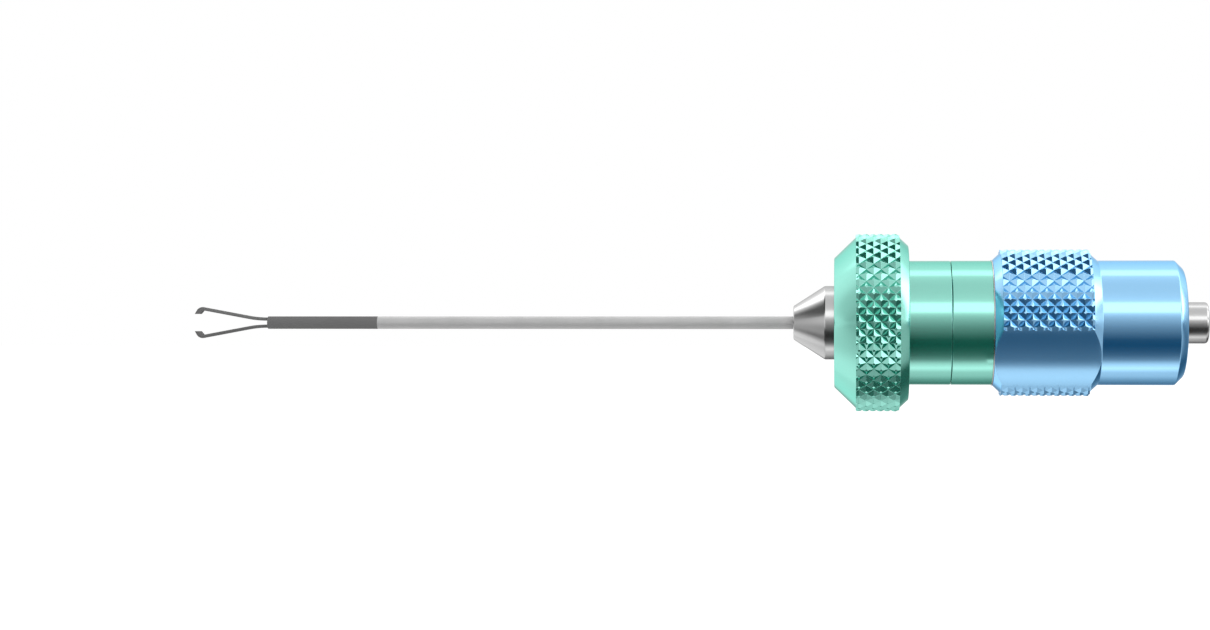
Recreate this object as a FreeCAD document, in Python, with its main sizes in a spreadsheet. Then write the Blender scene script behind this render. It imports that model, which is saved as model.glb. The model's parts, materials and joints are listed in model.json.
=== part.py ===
import FreeCAD, Part

import math
import os
import re

import Sketcher

# Retinal forceps tip: a 23 gauge shaft with two hooked jaws, a rotation ring, and a rear barrel
# that plugs into a squeeze handle. X runs along the axis with the jaws at -X, and the origin is
# where the barrel leaves the knurled collar. Pushing the plunger slides the shaft over the jaws.
# Lengths are in millimetres and angles in degrees.

SIZES = {
    # barrel, collar and plunger at the back
    "barrel_radius": 3.10,
    "barrel_length": 4.17,
    "barrel_bevel": 0.41,
    "plunger_radius": 1.025,
    "plunger_reach": 1.24,
    "plunger_bevel": 0.10,
    "collar_length": 5.18,
    "collar_radius": 3.65,
    "collar_front_step": 0.53,
    "collar_front_bevel": 0.38,
    "collar_rear_bevel": 0.42,
    "flat_depth": 0.53,
    "flat_turn": 35.4,
    "collar_diamonds": 32,
    # green sleeve and rotation ring
    "shim_thickness": 0.05,
    "shim_lip": 0.04,
    "sleeve_length": 2.06,
    "sleeve_wall": 0.615,
    "seam_gap": 0.03,
    "seam_bevel": 0.03,
    "skirt_length": 2.09,
    "skirt_wall": 0.57,
    "ring_length": 3.69,
    "ring_radius": 4.45,
    "ring_front_step": 1.21,
    "ring_front_bevel": 1.07,
    "ring_rear_step": 0.59,
    "ring_rear_bevel": 0.45,
    "ring_diamonds": 39,
    "knurl_depth": 0.15,
    "crest_margin": 0.05,
    "root_margin": 0.02,
    "bar_margin": 1.0,
    # nose cone, shaft and jaws
    "cone_exposed": 0.47,
    "cone_length": 1.57,
    "cone_radius": 1.85,
    "cone_front_radius": 0.84,
    "cone_bevel": 0.05,
    "shaft_length": 26.91,
    "shaft_radius": 0.32,
    "shaft_wall": 0.05,
    "shaft_mouth_bevel": 0.02,
    "slit_width": 0.20,
    "slit_length": 6.0,
    "jaw_reach": 3.85,
    "jaw_inset": 0.085,
    "jaw_edge": 0.025,
    "hinge_depth": 0.12,
    "flex_offset": 0.03,
    "flex_radius": 5.30,
    "arm_slope": 10.5,
    "grip_height": 0.443,
    "grip_length": 0.325,
    "hook_radius": 0.36,
    "hook_slope": 60.0,
    "hook_inner_slope": 49.0,
    # mechanism inside the ring
    "stroke": 0.90,
    "ring_wall": 1.12,
    "hub_length": 2.18,
    "hub_recess_play": 0.05,
    "pin_setback": 1.12,
    "pin_radius": 0.30,
    "pin_end_gap": 0.05,
    "spring_pocket": 0.38,
    "spring_length": 2.80,
    "spring_wire_radius": 0.125,
    "spring_turns": 5,
    "spring_seat_width": 0.55,
    "spring_collar_length": 0.40,
    "slider_bore": 0.70,
    "slider_wall": 0.50,
    "slider_tail": 0.30,
    "cone_entry": 0.40,
    "cone_socket": 0.80,
    "anchor_rear_land": 0.58,
    "tube_socket_gap": 0.10,
    "seal_length": 0.25,
    "seal_setback": 0.02,
    "plug_length": 1.15,
    "plug_stand": 0.15,
    "ball_radius": 0.50,
    "seat_mouth": 0.52,
    "seat_half_angle": 60.0,
    "head_length": 0.95,
    # spigot that carries the ring, and the bores of the housing
    "spigot_wall": 0.63,
    "spigot_bevel": 0.10,
    "washer_thickness": 0.10,
    "clip_setback": 1.46,
    "clip_wire_radius": 0.15,
    "clip_opening": 30.0,
    "knob_seal_setback": 0.66,
    "knob_seal_wire_radius": 0.18,
    "bush_wall": 0.655,
    "bush_length": 2.60,
    "bush_setback": 0.05,
    "gland_length": 0.62,
    "plunger_seal_wire_radius": 0.25,
    # clearances
    "knob_play": 0.05,
    "slide_play": 0.02,
    "rod_play": 0.01,
    "rod_clearance": 0.015,
    "rod_pin_gap": 0.12,
    "anchor_gap": 0.13,
    "recess_end_gap": 0.05,
    "spring_play": 0.175,
    "chamber_play": 0.10,
    "head_play": 0.20,
    "face_play": 0.01,
    "seat_gap": 0.005,
    "groove_play": 0.03,
    "seal_play": 0.03,
    "stop_play": 0.02,
    "hinge_gap": 0.012,
}

# Places along X and radii that follow from the sizes
PLACES = {
    "slider_radius": "slider_bore + slider_wall",
    "spring_mean_radius": "slider_radius + spring_play + spring_wire_radius",
    "spring_collar_radius": "slider_radius + spring_seat_width",
    "chamber_radius": "spring_collar_radius + chamber_play",
    "head_radius": "chamber_radius - head_play",
    "spigot_radius": "chamber_radius + spigot_wall",
    "knob_bore": "spigot_radius + knob_play",
    "skirt_radius": "knob_bore + skirt_wall",
    "sleeve_radius": "spigot_radius + seat_gap + sleeve_wall",
    "shim_radius": "sleeve_radius + shim_lip",
    "collar_front_radius": "collar_radius - collar_front_step",
    "flat_distance": "collar_radius - flat_depth",
    "ring_front_radius": "ring_radius - ring_front_step",
    "ring_rear_radius": "ring_radius - ring_rear_step",
    "bush_radius": "plunger_radius + slide_play + bush_wall",
    "shaft_bore": "shaft_radius - shaft_wall",
    "rod_radius": "shaft_bore - rod_clearance",
    "jaw_width": "2 * (rod_radius - jaw_inset)",
    "barrel_rear": "barrel_length",
    "plunger_end": "barrel_rear + plunger_reach",
    "collar_front": "-collar_length",
    "collar_envelope": "collar_radius + crest_margin",
    "collar_root": "collar_radius - knurl_depth - root_margin",
    "ring_envelope": "ring_radius + crest_margin",
    "ring_root": "ring_radius - knurl_depth - root_margin",
    "seam": "collar_front - sleeve_length",
    "ring_rear": "seam - skirt_length",
    "ring_front": "ring_rear - ring_length",
    "wall_rear": "ring_front + ring_wall",
    "hub_rear": "wall_rear + hub_length",
    "washer_front": "hub_rear + face_play",
    "washer_rear": "washer_front + washer_thickness",
    "spigot_front": "washer_rear + face_play",
    "pin_place": "wall_rear + pin_setback",
    "spring_front": "hub_rear - spring_pocket",
    "spring_rear": "spring_front + spring_length",
    "slider_rear": "spring_rear + spring_collar_length + slider_tail",
    "cone_rear": "wall_rear + cone_entry",
    "recess_rear": "cone_rear + recess_end_gap",
    "slider_front": "cone_rear - cone_socket",
    "cone_shoulder": "ring_front - cone_exposed",
    "cone_front": "cone_shoulder - cone_length",
    "shaft_mouth": "cone_front - shaft_length",
    "tube_rear": "slider_front - tube_socket_gap",
    "anchor_rear": "pin_place + anchor_rear_land",
    "seal_front": "slider_front + seal_setback",
    "seal_rear": "seal_front + seal_length",
    "anchor_front": "seal_rear + anchor_gap",
    "rod_rear": "pin_place - pin_radius - rod_pin_gap",
    "plug_rear": "slider_rear + plug_stand",
    "plug_front": "plug_rear - plug_length",
    "ball_reach": "ball_radius / sin(seat_half_angle) + face_play",
    "seat_depth": "seat_mouth / tan(seat_half_angle)",
    "ball_place": "plug_rear - seat_depth + ball_reach",
    "head_front": "ball_place + ball_reach - seat_depth",
    "head_rear": "head_front + head_length",
    "chamber_rear": "head_rear + stop_play",
    "bush_rear": "barrel_rear - bush_setback",
    "bush_front": "bush_rear - bush_length",
    "gland_front": "bush_front - gland_length",
    "clip_place": "seam - clip_setback",
    "clip_radius": "spigot_radius + knob_play / 2",
    "clip_groove_half": "clip_wire_radius + groove_play",
    "knob_seal_place": "seam - knob_seal_setback",
    "knob_seal_radius": "knob_bore - seal_play - knob_seal_wire_radius",
    "knob_seal_half": "knob_seal_wire_radius + groove_play",
    "plunger_seal_radius": "plunger_radius + seal_play + plunger_seal_wire_radius",
    "jaw_hinge": "shaft_mouth + hinge_depth",
    "flex_start": "shaft_mouth - flex_offset",
    "jaw_tip": "shaft_mouth - jaw_reach",
    "arm_inner": "slit_width / 2",
    "arm_outer": "rod_radius",
    "jaw_rounding": "arm_outer - arm_inner - jaw_edge",
    "flex_height": "(arm_inner + arm_outer) / 2 + flex_radius",
    "flex_inner_radius": "flex_height - arm_inner",
    "flex_outer_radius": "flex_height - arm_outer",
    "flex_inner_x": "flex_start - flex_inner_radius * sin(arm_slope)",
    "flex_inner_z": "flex_height - flex_inner_radius * cos(arm_slope)",
    "flex_outer_x": "flex_start - flex_outer_radius * sin(arm_slope)",
    "flex_outer_z": "flex_height - flex_outer_radius * cos(arm_slope)",
    "grip_rear": "jaw_tip + grip_length",
    "inner_rise": "flex_inner_z + (flex_inner_x - grip_rear) * tan(arm_slope) - grip_height",
    "hook_inner_run": "inner_rise / (tan(hook_inner_slope) + tan(arm_slope))",
    "hook_inner_x": "grip_rear + hook_inner_run",
    "hook_inner_z": "grip_height + hook_inner_run * tan(hook_inner_slope)",
    "hook_near_x": "jaw_tip + hook_radius * sin(hook_slope) - flex_outer_x",
    "hook_near_z": "grip_height - hook_radius * cos(hook_slope) - flex_outer_z",
    "hook_lift": "hook_near_x * sin(arm_slope) + hook_near_z * cos(arm_slope) + hook_radius",
    "hook_length": "-hook_lift / sin(hook_slope + arm_slope)",
    "hook_low_x": "jaw_tip + hook_length * cos(hook_slope)",
    "hook_low_z": "grip_height + hook_length * sin(hook_slope)",
    "hook_centre_x": "hook_low_x + hook_radius * sin(hook_slope)",
    "hook_centre_z": "hook_low_z - hook_radius * cos(hook_slope)",
    "hook_high_x": "hook_centre_x + hook_radius * sin(arm_slope)",
    "hook_high_z": "hook_centre_z + hook_radius * cos(arm_slope)",
}

document = FreeCAD.newDocument("retinal_forceps")
sheet_of = {}
pieces = []


def fill_sheet(name, rows, as_formula):
    """Write one row for each name: its name, its value or formula, and the name as an alias."""
    sheet = document.addObject("Spreadsheet::Sheet", name)
    for number, (alias, content) in enumerate(rows.items(), start=1):
        sheet.set(f"A{number}", alias)
        sheet.set(f"B{number}", "=" + bound(content) if as_formula else str(content))
        sheet.setAlias(f"B{number}", alias)
        sheet_of[alias] = "" if as_formula else name + "."
    document.recompute()
    for alias in rows:
        sheet_of[alias] = name + "."
    return sheet


def bound(expression):
    """Put the name of its sheet before every alias in an expression."""
    return re.sub(r"[a-z_]+", lambda word: sheet_of.get(word.group(), "") + word.group(), expression)


def measure(expression):
    """Work out an expression of aliases as a plain number."""
    return float(places.evalExpression(bound(expression)))


def part_of(label, kind):
    """Add an object that is a sub-part, with the label that names it."""
    piece = document.addObject(kind, label)
    piece.Label = label
    pieces.append(piece)
    return piece


def add_plain(label, kind):
    """Add an object that only helps to make a sub-part."""
    return document.addObject(kind, label)


def plane_of(body, role):
    """Find one of the body's own origin planes."""
    return next(feature for feature in body.Origin.OriginFeatures if feature.Role == role)


def side_sketch(body, name):
    """Start a sketch on the plane through the axis, X to the right and Z up."""
    sketch = body.newObject("Sketcher::SketchObject", name)
    sketch.AttachmentSupport = (plane_of(body, "XZ_Plane"), [""])
    sketch.MapMode = "FlatFace"
    return sketch


def fix_coordinate(sketch, edge, end, kind, expression):
    """Tie one coordinate of an edge's end or centre to an expression."""
    if expression == "0":
        axis = -2 if kind == "DistanceX" else -1
        sketch.addConstraint(Sketcher.Constraint("PointOnObject", edge, end, axis))
    else:
        distance = measure(expression)
        index = sketch.addConstraint(Sketcher.Constraint(kind, -1, 1, edge, end, distance))
        sketch.setExpression(f"Constraints[{index}]", bound(expression))


def fix_point(sketch, edge, end, x_expression, z_expression):
    """Tie an edge's end or centre to its place, counted from the origin."""
    fix_coordinate(sketch, edge, end, "DistanceX", x_expression)
    fix_coordinate(sketch, edge, end, "DistanceY", z_expression)


def closed_outline(sketch, corners, arcs=None):
    """Draw an edge from each corner to the next: a line, or an arc where arcs gives its centre.

    An arc is (centre x, centre z, whether it turns left). Its corners and one coordinate of its
    centre, the one across its longer side, are enough to fix it.
    """
    arcs = arcs or {}
    points = [FreeCAD.Vector(measure(x), measure(z), 0) for x, z in corners]
    count = len(corners)
    backward = {index for index, (_, _, turns_left) in arcs.items() if not turns_left}
    for index, start in enumerate(points):
        end = points[(index + 1) % count]
        if index in arcs:
            centre = FreeCAD.Vector(measure(arcs[index][0]), measure(arcs[index][1]), 0)
            first, last = (end, start) if index in backward else (start, end)
            from_angle = math.atan2(first.y - centre.y, first.x - centre.x)
            to_angle = math.atan2(last.y - centre.y, last.x - centre.x)
            circle = Part.Circle(centre, FreeCAD.Vector(0, 0, 1), (start - centre).Length)
            sketch.addGeometry(Part.ArcOfCircle(circle, from_angle, to_angle), False)
        else:
            sketch.addGeometry(Part.LineSegment(start, end), False)
    for index, (x_expression, z_expression) in enumerate(corners):
        previous = (index - 1) % count
        own_end = 2 if index in backward else 1
        previous_end = 1 if previous in backward else 2
        sketch.addConstraint(Sketcher.Constraint("Coincident", previous, previous_end, index, own_end))
        fix_point(sketch, index, own_end, x_expression, z_expression)
    for index, (centre_x, centre_z, _) in arcs.items():
        chord = points[(index + 1) % count] - points[index]
        if abs(chord.x) > abs(chord.y):
            fix_coordinate(sketch, index, 3, "DistanceY", centre_z)
        else:
            fix_coordinate(sketch, index, 3, "DistanceX", centre_x)


def turned(label, corners, listed=True, opening=None):
    """Turn a half outline of (x, radius) corners about the axis, as on a lathe.

    An opening, in degrees, leaves a split ring.
    """
    add_body = part_of if listed else add_plain
    body = add_body(label, "PartDesign::Body")
    sketch = side_sketch(body, label + "_outline")
    closed_outline(sketch, corners)
    revolution = body.newObject("PartDesign::Revolution", label + "_turning")
    revolution.Profile = sketch
    revolution.ReferenceAxis = (sketch, ["H_Axis"])
    revolution.Angle = 360
    if opening:
        revolution.setExpression("Angle", bound(f"360 - {opening}"))
    sketch.Visibility = False
    return body


def pipe(label, front, rear, inner, outer):
    """Turn a plain ring or tube between two places."""
    return turned(label, [(front, inner), (front, outer), (rear, outer), (rear, inner)])


def cut_through(body, name, draw):
    """Cut a shape drawn on the side plane through the whole body, both ways."""
    document.recompute()
    before = body.Shape.Volume
    sketch = side_sketch(body, name + "_outline")
    draw(sketch)
    pocket = body.newObject("PartDesign::Pocket", name)
    pocket.Profile = sketch
    pocket.Type = "ThroughAll"
    pocket.Midplane = True
    sketch.Visibility = False
    document.recompute()
    if body.Shape.Volume >= before:
        raise RuntimeError(name + " removes nothing")


def padded(body, name, sketch, width_expression):
    """Give a sketch on the side plane its width, half to each side."""
    pad = body.newObject("PartDesign::Pad", name)
    pad.Profile = sketch
    pad.Midplane = True
    pad.setExpression("Length", bound(width_expression))
    sketch.Visibility = False
    return pad


def edge_near(shape, x_expression, y_expression, z_expression):
    """Name the edge of a shape that passes nearest to a place."""
    place = FreeCAD.Vector(measure(x_expression), measure(y_expression), measure(z_expression))
    probe = Part.Vertex(place)
    distances = [edge.distToShape(probe)[0] for edge in shape.Edges]
    return f"Edge{distances.index(min(distances)) + 1}"


def rounded(body, name, edge_points, offsets, radius_expression):
    """Round the edges that pass through points of the side outline, at each offset across it."""
    document.recompute()
    base = body.Tip
    names = [edge_near(base.Shape, x, offset, z) for x, z in edge_points for offset in offsets]
    fillet = body.newObject("PartDesign::Fillet", name)
    fillet.Base = (base, names)
    fillet.setExpression("Radius", bound(radius_expression))
    return fillet


def bevelled(body, name, edge_point, size_expression):
    """Bevel the turned edge that passes through a point of the half outline."""
    document.recompute()
    base = body.Tip
    chamfer = body.newObject("PartDesign::Chamfer", name)
    chamfer.Base = (base, [edge_near(base.Shape, edge_point[0], "0", edge_point[1])])
    chamfer.setExpression("Size", bound(size_expression))
    return chamfer


def circle_at(sketch, x_expression, radius_expression):
    """Draw a circle whose centre is on the axis."""
    centre = FreeCAD.Vector(measure(x_expression), 0, 0)
    sketch.addGeometry(Part.Circle(centre, FreeCAD.Vector(0, 0, 1), measure(radius_expression)), False)
    fix_point(sketch, 0, 3, x_expression, "0")
    constraint = sketch.addConstraint(Sketcher.Constraint("Radius", 0, measure(radius_expression)))
    sketch.setExpression(f"Constraints[{constraint}]", bound(radius_expression))


def wire_ring(label, place, ring_radius, wire_radius, opening=None):
    """Turn a ring of round wire about the axis, its section drawn with flat sides."""
    sides = 8
    corners = []
    for side in range(sides):
        angle = (side + 0.5) * 360 / sides
        along = f"{place} + {wire_radius} * cos({angle})"
        outward = f"{ring_radius} + {wire_radius} * sin({angle})"
        corners.append((along, outward))
    return turned(label, corners, opening=opening)


def coil(label, front, length, mean_radius, wire_radius, turns):
    """Wind a spring about the axis from straight six-sided pieces of wire."""
    sides = 6
    steps_per_turn = 16
    steps = round(turns * steps_per_turn)
    rings = []
    for step in range(steps + 1):
        angle = 2 * math.pi * step / steps_per_turn
        along = front + wire_radius + (length - 2 * wire_radius) * step / steps
        ring = []
        for side in range(sides):
            round_wire = 2 * math.pi * side / sides
            radius = mean_radius + wire_radius * math.sin(round_wire)
            x = along + wire_radius * math.cos(round_wire)
            ring.append(FreeCAD.Vector(x, radius * math.cos(angle), radius * math.sin(angle)))
        rings.append(ring)
    faces = [facet(*rings[0]), facet(*rings[-1])]
    for ring, following in zip(rings, rings[1:]):
        for side in range(sides):
            beside = (side + 1) % sides
            faces.append(facet(ring[side], ring[beside], following[side]))
            faces.append(facet(following[beside], following[side], ring[beside]))
    spring = part_of(label, "Part::Feature")
    spring.Shape = Part.Solid(Part.Shell(faces))
    return spring


def facet(*corners):
    """Make a flat face between corners."""
    return Part.Face(Part.makePolygon(list(corners) + [corners[0]]))


def knurled_bar(name, crest, diamonds, middle, band, front, rear):
    """Make a bar whose skin is crossed by two families of sharp grooves at 45 degrees.

    Each diamond is a four-sided pyramid: its crest stands on the crest radius, and its four
    corners are where grooves cross. Beyond the band the end of the last row runs on straight.
    """
    steps_round = 2 * diamonds
    half_pitch = math.pi * crest / diamonds
    rows = math.ceil(band / (2 * half_pitch))
    valley = crest - measure("knurl_depth")

    def point(x, step_along, step_round):
        angle = 2 * math.pi * (step_round % steps_round) / steps_round
        radius = crest if (step_along + step_round) % 2 == 0 else valley
        return FreeCAD.Vector(x, radius * math.cos(angle), radius * math.sin(angle))

    faces = []
    for along in range(2 * rows):
        x_here = middle + (along - rows) * half_pitch
        x_next = x_here + half_pitch
        for around in range(steps_round):
            near = point(x_here, along, around)
            near_side = point(x_here, along, around + 1)
            far = point(x_next, along + 1, around)
            far_side = point(x_next, along + 1, around + 1)
            if (along + around) % 2 == 0:
                faces.append(facet(near, near_side, far))
                faces.append(facet(far_side, far, near_side))
            else:
                faces.append(facet(near_side, far_side, near))
                faces.append(facet(far, near, far_side))
    for along, x_end in ((0, front), (2 * rows, rear)):
        x_band = middle + (along - rows) * half_pitch
        rim = [point(x_end, along, around) for around in range(steps_round)]
        faces.append(facet(*rim))
        for around in range(steps_round):
            faces.append(
                facet(
                    point(x_band, along, around),
                    point(x_band, along, around + 1),
                    rim[(around + 1) % steps_round],
                    rim[around],
                )
            )
    bar = document.addObject("Part::Feature", name)
    bar.Shape = Part.Solid(Part.Shell(faces))
    return bar


# The sheet of driving sizes, and the sheet of places that follow from it
sizes = fill_sheet("Sizes", SIZES, as_formula=False)
places = fill_sheet("Places", PLACES, as_formula=True)

# Rear housing: barrel, knurled collar with two wrench flats, and the spigot that carries the ring
housing_blank = turned(
    "housing_blank",
    [
        ("spigot_front", "chamber_radius"),
        ("spigot_front", "spigot_radius - spigot_bevel"),
        ("spigot_front + spigot_bevel", "spigot_radius"),
        ("clip_place - clip_groove_half", "spigot_radius"),
        ("clip_place - clip_groove_half", "clip_radius - clip_groove_half"),
        ("clip_place + clip_groove_half", "clip_radius - clip_groove_half"),
        ("clip_place + clip_groove_half", "spigot_radius"),
        ("knob_seal_place - knob_seal_half", "spigot_radius"),
        ("knob_seal_place - knob_seal_half", "knob_seal_radius - knob_seal_wire_radius"),
        ("knob_seal_place + knob_seal_half", "knob_seal_radius - knob_seal_wire_radius"),
        ("knob_seal_place + knob_seal_half", "spigot_radius"),
        ("collar_front", "spigot_radius"),
        ("collar_front", "collar_front_radius"),
        ("collar_front + collar_front_bevel", "collar_root"),
        ("collar_front + collar_front_bevel", "collar_envelope"),
        ("-collar_rear_bevel", "collar_envelope"),
        ("-collar_rear_bevel", "collar_root"),
        ("0", "barrel_radius"),
        ("barrel_rear - barrel_bevel", "barrel_radius"),
        ("barrel_rear", "barrel_radius - barrel_bevel"),
        ("barrel_rear", "bush_radius + seat_gap"),
        ("gland_front", "bush_radius + seat_gap"),
        ("gland_front", "plunger_radius + slide_play"),
        ("chamber_rear", "plunger_radius + slide_play"),
        ("chamber_rear", "chamber_radius"),
    ],
    listed=False,
)
collar_bar = knurled_bar(
    "collar_bar",
    crest=measure("collar_radius"),
    diamonds=int(measure("collar_diamonds")),
    middle=measure("(collar_front + collar_front_bevel - collar_rear_bevel) / 2"),
    band=measure("collar_length - collar_front_bevel - collar_rear_bevel"),
    front=measure("spigot_front - bar_margin"),
    rear=measure("barrel_rear + bar_margin"),
)
knurled_housing = document.addObject("Part::MultiCommon", "knurled_housing")
knurled_housing.Shapes = [collar_bar, housing_blank]
flat_cutters = document.addObject("Part::MultiFuse", "flat_cutters")
cutters = []
for side, turn in (("near", "(flat_turn + 180)"), ("far", "flat_turn")):
    cutter = document.addObject("Part::Box", side + "_flat_cutter")
    cutter.setExpression("Length", bound("collar_length"))
    cutter.setExpression("Width", bound("collar_radius"))
    cutter.setExpression("Height", bound("2 * collar_radius"))
    about_x = FreeCAD.Rotation(FreeCAD.Vector(1, 0, 0), 1)
    cutter.Placement = FreeCAD.Placement(FreeCAD.Vector(0, 0, 0), about_x)
    cutter.setExpression("Placement.Rotation.Angle", bound(turn))
    cutter.setExpression("Placement.Base.x", bound("collar_front"))
    across = f"flat_distance * cos({turn}) + collar_radius * sin({turn})"
    upward = f"flat_distance * sin({turn}) - collar_radius * cos({turn})"
    cutter.setExpression("Placement.Base.y", bound(across))
    cutter.setExpression("Placement.Base.z", bound(upward))
    cutters.append(cutter)
flat_cutters.Shapes = cutters
rear_housing = part_of("rear_housing", "Part::Cut")
rear_housing.Base = knurled_housing
rear_housing.Tool = flat_cutters

# Shim between the collar and the green sleeve, then the sleeve itself
pipe(
    "shim_washer",
    "collar_front - shim_thickness",
    "collar_front",
    "spigot_radius + seat_gap",
    "shim_radius",
)
turned(
    "spacer_sleeve",
    [
        ("seam + seam_gap / 2", "spigot_radius + seat_gap"),
        ("seam + seam_gap / 2", "sleeve_radius - seam_bevel"),
        ("seam + seam_gap / 2 + seam_bevel", "sleeve_radius"),
        ("collar_front - shim_thickness", "sleeve_radius"),
        ("collar_front - shim_thickness", "spigot_radius + seat_gap"),
    ],
)

# Rotation knob: a knurled ring and a plain skirt, turning on the spigot
knob_blank = turned(
    "knob_blank",
    [
        ("ring_front", "cone_radius + slide_play"),
        ("ring_front", "ring_front_radius"),
        ("ring_front + ring_front_bevel", "ring_root"),
        ("ring_front + ring_front_bevel", "ring_envelope"),
        ("ring_rear - ring_rear_bevel", "ring_envelope"),
        ("ring_rear - ring_rear_bevel", "ring_root"),
        ("ring_rear", "ring_rear_radius"),
        ("ring_rear", "skirt_radius"),
        ("seam - seam_gap / 2 - seam_bevel", "skirt_radius"),
        ("seam - seam_gap / 2", "skirt_radius - seam_bevel"),
        ("seam - seam_gap / 2", "knob_bore"),
        ("clip_place + clip_groove_half", "knob_bore"),
        ("clip_place + clip_groove_half", "clip_radius + clip_groove_half"),
        ("clip_place - clip_groove_half", "clip_radius + clip_groove_half"),
        ("clip_place - clip_groove_half", "knob_bore"),
        ("wall_rear", "knob_bore"),
        ("wall_rear", "cone_radius + slide_play"),
    ],
    listed=False,
)
ring_bar = knurled_bar(
    "ring_bar",
    crest=measure("ring_radius"),
    diamonds=int(measure("ring_diamonds")),
    middle=measure("(ring_front + ring_front_bevel + ring_rear - ring_rear_bevel) / 2"),
    band=measure("ring_length - ring_front_bevel - ring_rear_bevel"),
    front=measure("ring_front - bar_margin"),
    rear=measure("seam + bar_margin"),
)
rotation_knob = part_of("rotation_knob", "Part::MultiCommon")
rotation_knob.Shapes = [ring_bar, knob_blank]

# Retaining ring, rubber ring and thrust washer between the spigot and the knob
wire_ring("retaining_ring", "clip_place", "clip_radius", "clip_wire_radius", opening="clip_opening")
wire_ring("knob_o_ring", "knob_seal_place", "knob_seal_radius", "knob_seal_wire_radius")
pipe("thrust_washer", "washer_front", "washer_rear", "chamber_radius", "spigot_radius - spigot_bevel")

# Hub pressed into the knob, with the pin that stops the jaw rod from sliding
rotor_hub = turned(
    "rotor_hub",
    [
        ("wall_rear", "cone_radius + hub_recess_play"),
        ("wall_rear", "knob_bore - seat_gap"),
        ("hub_rear", "knob_bore - seat_gap"),
        ("hub_rear", "spring_collar_radius"),
        ("spring_front", "spring_collar_radius"),
        ("spring_front", "slider_radius + slide_play"),
        ("recess_rear", "slider_radius + slide_play"),
        ("recess_rear", "cone_radius + hub_recess_play"),
    ],
)


def pin_hole(sketch):
    circle_at(sketch, "pin_place", "pin_radius + seat_gap")


cut_through(rotor_hub, "hub_pin_hole", pin_hole)
cross_pin = part_of("cross_pin", "PartDesign::Body")
pin_sketch = side_sketch(cross_pin, "cross_pin_outline")
circle_at(pin_sketch, "pin_place", "pin_radius")
padded(cross_pin, "cross_pin_pad", pin_sketch, "2 * (knob_bore - pin_end_gap)")

# Anchor on the rear end of the jaw rod
rod_anchor = turned(
    "rod_anchor",
    [
        ("anchor_front", "rod_radius + seat_gap"),
        ("anchor_front", "slider_bore - slide_play"),
        ("anchor_rear", "slider_bore - slide_play"),
        ("anchor_rear", "0"),
        ("rod_rear", "0"),
        ("rod_rear", "rod_radius + seat_gap"),
    ],
)
cut_through(rod_anchor, "anchor_pin_hole", pin_hole)

# Jaw rod, slit at its front end into two legs that carry the jaws
jaw_rod = turned(
    "jaw_rod",
    [
        ("jaw_hinge + hinge_gap", "0"),
        ("jaw_hinge + hinge_gap", "rod_radius"),
        ("rod_rear - seat_gap", "rod_radius"),
        ("rod_rear - seat_gap", "0"),
    ],
)


def slit(sketch):
    closed_outline(
        sketch,
        [
            ("jaw_hinge - hinge_depth", "-arm_inner"),
            ("jaw_hinge + slit_length", "-arm_inner"),
            ("jaw_hinge + slit_length", "arm_inner"),
            ("jaw_hinge - hinge_depth", "arm_inner"),
        ],
    )


cut_through(jaw_rod, "jaw_slit", slit)

# Upper jaw: a slim arm that bends outwards and hooks back in to a flat grip face
upper_jaw = part_of("upper_jaw", "PartDesign::Body")
jaw_sketch = side_sketch(upper_jaw, "upper_jaw_outline")
closed_outline(
    jaw_sketch,
    [
        ("jaw_hinge", "arm_inner"),
        ("flex_start", "arm_inner"),
        ("flex_inner_x", "flex_inner_z"),
        ("hook_inner_x", "hook_inner_z"),
        ("grip_rear", "grip_height"),
        ("jaw_tip", "grip_height"),
        ("hook_low_x", "hook_low_z"),
        ("hook_high_x", "hook_high_z"),
        ("flex_outer_x", "flex_outer_z"),
        ("flex_start", "arm_outer"),
        ("jaw_hinge", "arm_outer"),
    ],
    arcs={
        1: ("flex_start", "flex_height", False),
        6: ("hook_centre_x", "hook_centre_z", False),
        8: ("flex_start", "flex_height", True),
    },
)
jaw_pad = padded(upper_jaw, "upper_jaw_pad", jaw_sketch, "jaw_width")
outer_run = [
    ("(jaw_tip + hook_low_x) / 2", "(grip_height + hook_low_z) / 2"),
    ("hook_centre_x", "hook_centre_z + hook_radius"),
    ("(hook_high_x + flex_outer_x) / 2", "(hook_high_z + flex_outer_z) / 2"),
    (
        "flex_start - flex_outer_radius * sin(arm_slope / 2)",
        "flex_height - flex_outer_radius * cos(arm_slope / 2)",
    ),
    ("(flex_start + jaw_hinge) / 2", "arm_outer"),
]
rounded(upper_jaw, "upper_jaw_rounding", outer_run, ("jaw_width / 2", "-jaw_width / 2"), "jaw_rounding")

lower_jaw = part_of("lower_jaw", "Part::Mirroring")
lower_jaw.Source = upper_jaw
lower_jaw.Normal = (0, 0, 1)

# Tube carriage: the shaft, its nose cone and the slider behind it slide as one
turned(
    "shaft_tube",
    [
        ("shaft_mouth", "shaft_bore"),
        ("shaft_mouth", "shaft_radius - shaft_mouth_bevel"),
        ("shaft_mouth + shaft_mouth_bevel", "shaft_radius"),
        ("tube_rear", "shaft_radius"),
        ("tube_rear", "shaft_bore"),
    ],
)
nose_cone = turned(
    "nose_cone",
    [
        ("cone_front", "shaft_radius + seat_gap"),
        ("cone_front", "cone_front_radius"),
        ("cone_shoulder", "cone_radius"),
        ("cone_rear", "cone_radius"),
        ("cone_rear", "slider_radius + seat_gap"),
        ("slider_front", "slider_radius + seat_gap"),
        ("slider_front", "shaft_radius + seat_gap"),
    ],
)
bevelled(nose_cone, "nose_cone_bevel", ("cone_front", "cone_front_radius"), "cone_bevel")
slider_sleeve = pipe("slider_sleeve", "slider_front", "slider_rear", "slider_bore", "slider_radius")


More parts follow.
